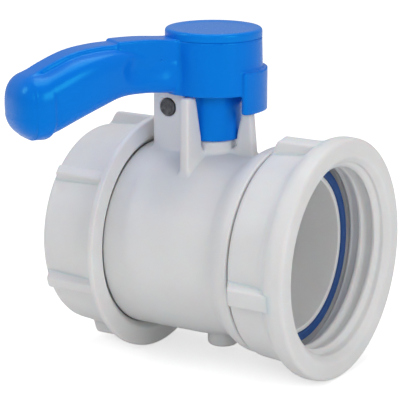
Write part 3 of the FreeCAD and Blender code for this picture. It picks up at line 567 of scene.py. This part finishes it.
# %% Turn the nut and cut its thread
THREAD_R, SPIGOT_R = 37.5, 36.0
nut_outline = softened([
    (31.0, 36.35, 0.4), (31.0, 39.7, 1.0), (32.6, 41.7, 1.2), (38.0, 42.1, 3.0), (47.4, 43.0, 3.5),
    (50.4, 46.4, 2.6), (53.2, 47.2, 3.0), (58.6, 46.9, 1.9), (58.6, 39.9, 1.2), (56.2, 37.5, 0.5), (41.0, 37.5, 0), (41.0, 37.9, 0.1), (35.1, 37.9, 0.3),
    (35.1, 36.35, 0.3)], steps=5)
nut_outline = divided(nut_outline, 41.0, 56.4, THREAD_R, 0.35)
nut = turned("union_nut_body", nut_outline, sides=216)
apply_tree(nut, thread_tree, {"Start": 0.0002, "End": 0.0155, "Wall radius": 0.0375, "Crest height": -0.0022,
                              "Phase": 0.5, "Finish": white_nut})

def nut_wall(x):
    return float(np.interp(x, (31.0, 32.6, 38.0, 47.4, 50.4, 53.2), (39.9, 41.6, 42.0, 42.9, 45.6, 46.7)))

nut_rib = make_rib("nut_rib", 31.3, 54.0, 4.6, 7.1, 46.8, nut_wall, 0.9)
keep_ribbed(nut, nut_rib, 4, 8.7, white_nut)
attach(nut, "nut")
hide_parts("union_nut")

# %% [markdown]
# ## The outlet cap
# The cap closes the outlet. It is a drum with a thin flange round its mouth and six slim ribs, threaded inside.

# %% Turn the cap and cut its thread
cap_outline = softened([
    (-54.8, 0.0, 0), (-54.8, 33.0, 0.5), (-54.8, 40.1, 2.4), (-28.2, 42.3, 1.2), (-28.1, 47.2, 0.9),
    (-25.5, 47.2, 0.9), (-25.5, 40.2, 0.8), (-27.9, 37.5, 0.4), (-51.3, 37.5, 0.3), (-51.3, 0.0, 0)], steps=5)
cap_outline = divided(cap_outline, -51.0, -27.6, THREAD_R, 0.35)
cap = turned("outlet_cap_body", cap_outline, sides=216)
apply_tree(cap, thread_tree, {"Start": -0.0915, "End": -0.0687, "Wall radius": 0.0375, "Crest height": -0.0022,
                              "Phase": 0.5, "Finish": white_cap})

def cap_wall(x):
    return float(np.interp(x, (-54.8, -53.0, -28.0), (39.2, 40.1, 42.2)))

cap_rib = make_rib("cap_rib", -54.0, -27.4, 4.5, 4.3, 45.6, cap_wall, 0.8)
keep_ribbed(cap, cap_rib, 6, 20.0, white_cap)
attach(cap, "cap")
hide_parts("outlet_cap")

# %% [markdown]
# ## The housing
# The housing is turned round the pipe axis: a threaded outlet, a straight barrel, a shallow waist and a bulge that
# stops the nut. The tower and the foot grow out of the barrel with soft corners, as moulded parts do.

# %% Turn the housing and cut the outlet's thread
def bezier(start, lead, tail, end, steps=14):
    start, lead, tail, end = (np.array(p, float) for p in (start, lead, tail, end))
    return [tuple((1 - t) ** 3 * start + 3 * t * (1 - t) ** 2 * lead + 3 * t * t * (1 - t) * tail + t ** 3 * end)
            for t in np.linspace(0, 1, steps)]

BORE_RADIUS, BARREL_RADIUS, SPIGOT_ROOT = 30.0, 37.3, 35.0
housing_outline = softened([
    (-48.8, 30.0, 0.5), (-48.8, 34.2, 0.3), (-48.2, SPIGOT_ROOT, 0.1), (-28.7, SPIGOT_ROOT, 0.3),
    (-27.2, 37.3, 0.4), (0.0, 37.3, 0)], closed=False)
housing_outline += bezier((0, 37.3), (9.45, 37.3), (11.34, 36), (18.9, 36))[1:]
housing_outline += bezier((18.9, 36), (20.88, 36), (24.44, 40.7), (28.8, 40.8))[1:]
housing_outline += softened([
    (28.8, 40.8, 0), (30.7, 40.9, 0.9), (30.7, 36.0, 0.2), (35.4, 36.0, 0.2), (35.4, 34.9, 0.1), (37.0, 34.9, 0.1),
    (37.0, 36.0, 0.1), (38.0, 36.0, 0.5), (38.0, 31.9, 0.1), (40.2, 31.9, 0.5), (40.2, 30.0, 0.5),
    (0.0, 30.0, 0)], closed=False)[1:]
housing_outline = divided(housing_outline, -48.2, -28.7, SPIGOT_ROOT, 0.35)
housing = turned("valve_housing", housing_outline, sides=216)
apply_tree(housing, thread_tree, {"Start": -0.0894, "End": -0.0698, "Wall radius": 0.035, "Crest height": 0.0022,
                                  "Phase": 0.0, "Finish": white})
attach(housing, "valve_body")
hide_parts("housing")

# %% The tower under the lever
def edged(*sides, soft=0.45):
    """Inside all the given sides, with the edges rounded."""
    return soft * np.log(sum(np.exp(np.clip(side / soft, -60, 60)) for side in sides))

def wall_field(x, y, z, sunk=0.2):
    """The barrel's wall, a little under its own surface, so that corners can flow out of it."""
    waist = np.clip(x / 18.9, 0, 1)
    outer = BARREL_RADIUS - 1.3 * waist ** 2 * (3 - 2 * waist) - sunk
    r = np.hypot(y, z)
    return np.maximum(r - outer, 33.0 - r)

def post_field(out, side, z, foot, tip, lean):
    inner = np.maximum(10.3 + (z - 38.4) * np.where(z > 38.4, 0.244, 3.0), 4.0) - out
    return edged(inner, out - foot + lean * (z - 37.3), z - tip, np.abs(side) - 2.0)

bush_low, bush_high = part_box("stem_bush")
STEM_HOLE = (bush_high[0] - bush_low[0]) * 500 + 0.05

def tower_field(x, y, z):
    r = np.hypot(x, y)
    posts = np.minimum(post_field(-y, x, z, 21.7, 60.1, 0.0), np.minimum(
        post_field(x, y, z, 19.4, 52.9, 0.096), post_field(y, x, z, 19.4, 52.9, 0.096)))
    block = edged(-22.7 - x, x + 4.5, -9.0 - y, y - 2.0, z - 60.1, soft=0.6)
    posts = cut(join(posts, block, 0.8), bar_field(r, z, 11.9, 39.4, 90.0, 0.2), 0.4)
    neck = bar_field(r, z, 9.0, 20.0, 41.4, 0.5)
    tower = join(join(posts, neck, 1.2), np.maximum(wall_field(x, y, z), r - 25.5), 2.2)
    across = np.hypot(x + 15.4, z - 53.2)
    hole = np.minimum(bar_field(across, y, 3.6, -12.0, -7.5, 0.1), bar_field(across, y, 2.0, -12.0, 0.3, 0.1))
    tower = cut(tower, np.minimum(hole, bar_field(r, z, STEM_HOLE, 10.0, 50.0, 0.1)), 0.3)
    return np.maximum(tower, 31.0 - np.hypot(y, z))

tower = grown("tower", tower_field, (-27.0, -27.0, 19.0), (27.0, 27.0, 61.0), 0.55)
tower.data.materials.append(white)
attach(tower, "valve_body")
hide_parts("stem_tower")

# %% The foot under the barrel
def foot_field(x, y, z):
    r = np.hypot(x - 4.7, y)
    return join(bar_field(r, z, 6.1, -42.6, -33.0, 1.5), np.maximum(wall_field(x, y, z), r - 11.5), 1.2)

foot = grown("foot", foot_field, (-8.5, -13.0, -43.4), (18.0, 13.0, -29.0), 0.5)
foot.data.materials.append(white)
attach(foot, "valve_body")
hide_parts("housing")

# %% The gasket in the nut's mouth
gasket_outline = softened([(38.05, 32.0, 0.2), (38.05, 35.2, 0.2), (41.0, 35.2, 0.4), (41.0, 32.0, 0.4)])
gasket = turned("mouth_gasket", gasket_outline, sides=180)
gasket.data.materials.append(blue_gasket)
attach(gasket, "valve_body")
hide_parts("tank_gasket")

# %% [markdown]
# ## Floor, light and camera
# The valve lies on its two flanges on a plain pale floor. Four soft panels and an even sky light it.

# %% Floor and sky
floor_z = cad_box[0].z - 0.0002
floor_mesh = bpy.data.meshes.new("studio_floor")
floor_mesh.from_pydata([(-6, -6, floor_z), (6, -6, floor_z), (6, 6, floor_z), (-6, 6, floor_z)], [], [(0, 1, 2, 3)])
floor = bpy.data.objects.new("studio_floor", floor_mesh)
bpy.context.scene.collection.objects.link(floor)

def backdrop_nodes(tree, base, lit, out_socket):
    """Pure white for the camera and for light passing through, and the plain tone for all other light."""
    path = add(tree, "ShaderNodeLightPath")
    seen = add(tree, "ShaderNodeMath", operation="MAXIMUM")
    tree.links.new(path.outputs["Is Camera Ray"], seen.inputs[0])
    tree.links.new(path.outputs["Is Transmission Ray"], seen.inputs[1])
    mix = add(tree, "ShaderNodeMixShader")
    tree.links.new(seen.outputs[0], mix.inputs["Fac"])
    tree.links.new(base, mix.inputs[1])
    tree.links.new(lit, mix.inputs[2])
    tree.links.new(mix.outputs[0], out_socket)

world = bpy.data.worlds.new("studio_sky")
bpy.context.scene.world = world
world.use_nodes = True
tree = world.node_tree
sky = tree.nodes["Background"]
sky.inputs["Color"].default_value = (1, 1, 1, 1)
sky.inputs["Strength"].default_value = 0.37
plain = add(tree, "ShaderNodeBackground")
plain.inputs["Color"].default_value = (1, 1, 1, 1)
plain.inputs["Strength"].default_value = 1.0
backdrop_nodes(tree, sky.outputs[0], plain.outputs[0], tree.nodes["World Output"].inputs["Surface"])

pale = bpy.data.materials.new("pale_floor")
pale.use_nodes = True
tree = pale.node_tree
matt = tree.nodes["Principled BSDF"]
matt.inputs["Base Color"].default_value = (0.9, 0.9, 0.9, 1)
matt.inputs["Roughness"].default_value = 0.9
matt.inputs["Specular IOR Level"].default_value = 0.1
lift = add(tree, "ShaderNodeEmission")
lift.inputs["Color"].default_value = (1, 1, 1, 1)
lift.inputs["Strength"].default_value = 0.55
both = add(tree, "ShaderNodeAddShader")
tree.links.new(matt.outputs[0], both.inputs[0])
tree.links.new(lift.outputs[0], both.inputs[1])
backdrop_nodes(tree, matt.outputs[0], both.outputs[0], tree.nodes["Material Output"].inputs["Surface"])
floor_mesh.materials.append(pale)

# %% Lamps and camera
def panel(name, where, target, width, height, power):
    lamp = bpy.data.lights.new(name, "AREA")
    lamp.shape = "RECTANGLE"
    lamp.size, lamp.size_y, lamp.energy = width, height, power
    holder = bpy.data.objects.new(name, lamp)
    holder.location = where
    holder.rotation_euler = (Vector(target) - Vector(where)).to_track_quat("-Z", "Y").to_euler()
    bpy.context.scene.collection.objects.link(holder)

middle = (-0.04, 0.0, 0.02)
panel("window_left", (-0.9, -0.75, 0.75), middle, 0.35, 0.45, 2.2)
panel("window_front", (0.25, -1.1, 0.55), middle, 0.35, 0.35, 1.7)
panel("top_panel", (-0.1, 0.15, 1.2), middle, 0.9, 0.9, 5.6)
panel("window_right", (1.15, -0.4, 0.45), middle, 0.6, 0.5, 4.2)

view_azimuth, view_elevation, view_distance = 32.4, 14.1, 0.7749
aim = Vector((-0.04724, 0.0, 0.01503))
a, e = math.radians(view_azimuth), math.radians(view_elevation)
back = Vector((math.sin(a) * math.cos(e), -math.cos(a) * math.cos(e), math.sin(e)))
lens = bpy.data.cameras.new("camera")
lens.sensor_width = 36.0
lens.lens = 175.6
camera = bpy.data.objects.new("camera", lens)
camera.location = aim + back * view_distance
camera.rotation_euler = (-back).to_track_quat("-Z", "Y").to_euler()
bpy.context.scene.collection.objects.link(camera)
bpy.context.scene.camera = camera
bpy.context.scene.view_settings.view_transform = "Standard"
